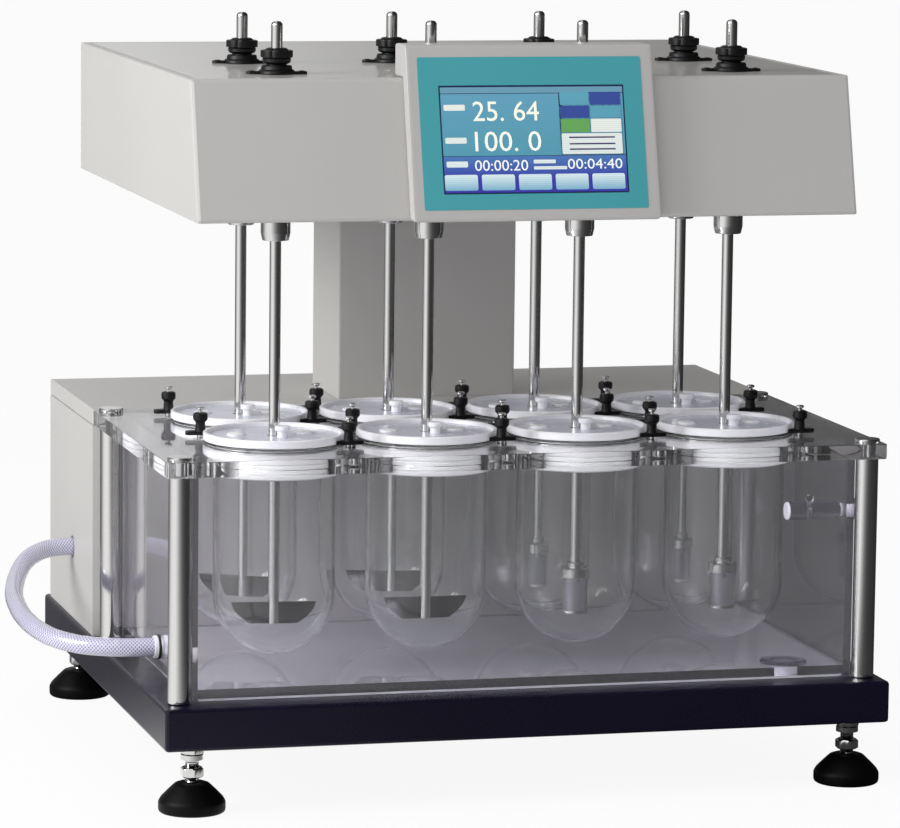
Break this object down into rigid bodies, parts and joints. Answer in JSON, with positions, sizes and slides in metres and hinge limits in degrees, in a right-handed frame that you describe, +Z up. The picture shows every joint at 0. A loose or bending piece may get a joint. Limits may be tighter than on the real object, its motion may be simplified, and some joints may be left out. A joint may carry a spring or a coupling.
{
  "type": "tablet dissolution tester",
  "caption": "Bench tester that stirs tablets in glass vessels in a clear water bath, with paddles and baskets driven from a head that lifts.",
  "frame": {"origin": "on the bench, under the middle of the plinth", "axes": "+X to the instrument's right as seen from the front, +Y to its back, +Z up"},
  "size_m": [0.7331, 0.582, 0.67],
  "materials": {
    "navy_paint": "semi-gloss dark blue-black paint",
    "foot_rubber": "black rubber",
    "clear_acrylic": "clear polished acrylic",
    "white_plastic": "white",
    "lid_plastic": "white, semi-gloss",
    "sensor_plastic": "smoky grey",
    "stainless_steel": "polished",
    "spindle_metal": "turned",
    "vessel_glass": "clear laboratory glass",
    "light_paint": "fine satin powder coat",
    "panel_plastic": "satin, colour of the head",
    "black_plastic": "moulded black",
    "motor_casting": "cast, painted grey",
    "braided_hose": "translucent, braid reinforced",
    "screen_glass": "lit display behind glass",
    "belt_rubber": "black toothed belt"
  },
  "bodies": {
    "stand": {"base_frame": "navy_paint", "water_tank": "clear_acrylic", "tank_hose_fitting": "white_plastic", "level_sensor": "sensor_plastic", "corner_post_1": "stainless_steel", "corner_post_2": "stainless_steel", "corner_post_3": "stainless_steel", "corner_post_4": "stainless_steel", "vessel_plate": "clear_acrylic", "vessel_1": "vessel_glass", "vessel_2": "vessel_glass", "vessel_3": "vessel_glass", "vessel_4": "vessel_glass", "vessel_5": "vessel_glass", "vessel_6": "vessel_glass", "vessel_7": "vessel_glass", "vessel_8": "vessel_glass", "rear_cabinet": "light_paint", "cabinet_cover": "light_paint", "power_inlet": "black_plastic", "circulation_pump": "motor_casting", "circulation_hose": "braided_hose", "lift_mast": "stainless_steel"},
    "head": {"lift_column": "light_paint", "head_housing": "light_paint", "head_cover": "light_paint", "panel_bezel": "panel_plastic", "touch_screen": "screen_glass", "drive_motor": "motor_casting", "drive_belt": "belt_rubber"},
    "motor_rotor": {"motor_pulley": "spindle_metal"},
    "spindle_1": {"drive_spindle_1": "spindle_metal"},
    "stirrer_1": {"paddle_shaft_1": "stainless_steel"},
    "lid_1": {"vessel_lid_1": "lid_plastic"},
    "spindle_2": {"drive_spindle_2": "spindle_metal"},
    "stirrer_2": {"paddle_shaft_2": "stainless_steel"},
    "lid_2": {"vessel_lid_2": "lid_plastic"},
    "spindle_3": {"drive_spindle_3": "spindle_metal"},
    "stirrer_3": {"basket_shaft_1": "stainless_steel"},
    "lid_3": {"vessel_lid_3": "lid_plastic"},
    "spindle_4": {"drive_spindle_4": "spindle_metal"},
    "stirrer_4": {"basket_shaft_2": "stainless_steel"},
    "lid_4": {"vessel_lid_4": "lid_plastic"},
    "spindle_5": {"drive_spindle_5": "spindle_metal"},
    "stirrer_5": {"paddle_shaft_3": "stainless_steel"},
    "lid_5": {"vessel_lid_5": "lid_plastic"},
    "spindle_6": {"drive_spindle_6": "spindle_metal"},
    "stirrer_6": {"paddle_shaft_4": "stainless_steel"},
    "lid_6": {"vessel_lid_6": "lid_plastic"},
    "spindle_7": {"drive_spindle_7": "spindle_metal"},
    "stirrer_7": {"basket_shaft_3": "stainless_steel"},
    "lid_7": {"vessel_lid_7": "lid_plastic"},
    "spindle_8": {"drive_spindle_8": "spindle_metal"},
    "stirrer_8": {"basket_shaft_4": "stainless_steel"},
    "lid_8": {"vessel_lid_8": "lid_plastic"},
    "foot_1": {"levelling_foot_1": "foot_rubber"},
    "foot_2": {"levelling_foot_2": "foot_rubber"},
    "foot_3": {"levelling_foot_3": "foot_rubber"},
    "foot_4": {"levelling_foot_4": "foot_rubber"},
    "rocker": {"power_switch": "black_plastic"}
  },
  "joints": [
    {"name": "head_lift", "type": "slide", "parent": "stand", "child": "head", "axis": [0, 0, 1], "range_m": [0, 0.18]},
    {"name": "motor_spin", "type": "hinge", "parent": "head", "child": "motor_rotor", "pos_m": [0, -0.0335, 0.585], "axis": [0, 0, 1], "continuous": true},
    {"name": "spindle_spin_1", "type": "hinge", "parent": "head", "child": "spindle_1", "pos_m": [-0.2055, -0.1725, 0.585], "axis": [0, 0, 1], "continuous": true},
    {"name": "spindle_spin_2", "type": "hinge", "parent": "head", "child": "spindle_2", "pos_m": [-0.0685, -0.1725, 0.585], "axis": [0, 0, 1], "continuous": true},
    {"name": "spindle_spin_3", "type": "hinge", "parent": "head", "child": "spindle_3", "pos_m": [0.0685, -0.1725, 0.585], "axis": [0, 0, 1], "continuous": true},
    {"name": "spindle_spin_4", "type": "hinge", "parent": "head", "child": "spindle_4", "pos_m": [0.2055, -0.1725, 0.585], "axis": [0, 0, 1], "continuous": true},
    {"name": "spindle_spin_5", "type": "hinge", "parent": "head", "child": "spindle_5", "pos_m": [-0.2055, -0.0335, 0.585], "axis": [0, 0, 1], "continuous": true},
    {"name": "spindle_spin_6", "type": "hinge", "parent": "head", "child": "spindle_6", "pos_m": [-0.0685, -0.0335, 0.585], "axis": [0, 0, 1], "continuous": true},
    {"name": "spindle_spin_7", "type": "hinge", "parent": "head", "child": "spindle_7", "pos_m": [0.0685, -0.0335, 0.585], "axis": [0, 0, 1], "continuous": true},
    {"name": "spindle_spin_8", "type": "hinge", "parent": "head", "child": "spindle_8", "pos_m": [0.2055, -0.0335, 0.585], "axis": [0, 0, 1], "continuous": true},
    {"name": "shaft_slide_1", "type": "slide", "parent": "spindle_1", "child": "stirrer_1", "axis": [0, 0, 1], "range_m": [0, 0.1]},
    {"name": "shaft_slide_2", "type": "slide", "parent": "spindle_2", "child": "stirrer_2", "axis": [0, 0, 1], "range_m": [0, 0.1]},
    {"name": "shaft_slide_3", "type": "slide", "parent": "spindle_3", "child": "stirrer_3", "axis": [0, 0, 1], "range_m": [0, 0.1]},
    {"name": "shaft_slide_4", "type": "slide", "parent": "spindle_4", "child": "stirrer_4", "axis": [0, 0, 1], "range_m": [0, 0.1]},
    {"name": "shaft_slide_5", "type": "slide", "parent": "spindle_5", "child": "stirrer_5", "axis": [0, 0, 1], "range_m": [0, 0.1]},
    {"name": "shaft_slide_6", "type": "slide", "parent": "spindle_6", "child": "stirrer_6", "axis": [0, 0, 1], "range_m": [0, 0.1]},
    {"name": "shaft_slide_7", "type": "slide", "parent": "spindle_7", "child": "stirrer_7", "axis": [0, 0, 1], "range_m": [0, 0.1]},
    {"name": "shaft_slide_8", "type": "slide", "parent": "spindle_8", "child": "stirrer_8", "axis": [0, 0, 1], "range_m": [0, 0.1]},
    {"name": "lid_slide_1", "type": "slide", "parent": "head", "child": "lid_1", "axis": [0, 0, 1], "range_m": [0, 0.15]},
    {"name": "lid_slide_2", "type": "slide", "parent": "head", "child": "lid_2", "axis": [0, 0, 1], "range_m": [0, 0.15]},
    {"name": "lid_slide_3", "type": "slide", "parent": "head", "child": "lid_3", "axis": [0, 0, 1], "range_m": [0, 0.15]},
    {"name": "lid_slide_4", "type": "slide", "parent": "head", "child": "lid_4", "axis": [0, 0, 1], "range_m": [0, 0.15]},
    {"name": "lid_slide_5", "type": "slide", "parent": "head", "child": "lid_5", "axis": [0, 0, 1], "range_m": [0, 0.15]},
    {"name": "lid_slide_6", "type": "slide", "parent": "head", "child": "lid_6", "axis": [0, 0, 1], "range_m": [0, 0.15]},
    {"name": "lid_slide_7", "type": "slide", "parent": "head", "child": "lid_7", "axis": [0, 0, 1], "range_m": [0, 0.15]},
    {"name": "lid_slide_8", "type": "slide", "parent": "head", "child": "lid_8", "axis": [0, 0, 1], "range_m": [0, 0.15]},
    {"name": "foot_screw_1", "type": "slide", "parent": "stand", "child": "foot_1", "axis": [0, 0, 1], "range_m": [-0.015, 0]},
    {"name": "foot_screw_2", "type": "slide", "parent": "stand", "child": "foot_2", "axis": [0, 0, 1], "range_m": [-0.015, 0]},
    {"name": "foot_screw_3", "type": "slide", "parent": "stand", "child": "foot_3", "axis": [0, 0, 1], "range_m": [-0.015, 0]},
    {"name": "foot_screw_4", "type": "slide", "parent": "stand", "child": "foot_4", "axis": [0, 0, 1], "range_m": [-0.015, 0]},
    {"name": "rocker_tilt", "type": "hinge", "parent": "stand", "child": "rocker", "pos_m": [0.2095, 0.277, 0.15], "axis": [1, 0, 0], "range_deg": [0, 14]}
  ],
  "couplings": [
    {"joint": "spindle_spin_1", "follows": "motor_spin", "ratio": 1},
    {"joint": "spindle_spin_2", "follows": "motor_spin", "ratio": 1},
    {"joint": "spindle_spin_3", "follows": "motor_spin", "ratio": 1},
    {"joint": "spindle_spin_4", "follows": "motor_spin", "ratio": 1},
    {"joint": "spindle_spin_5", "follows": "motor_spin", "ratio": 1},
    {"joint": "spindle_spin_6", "follows": "motor_spin", "ratio": 1},
    {"joint": "spindle_spin_7", "follows": "motor_spin", "ratio": 1},
    {"joint": "spindle_spin_8", "follows": "motor_spin", "ratio": 1}
  ]
}
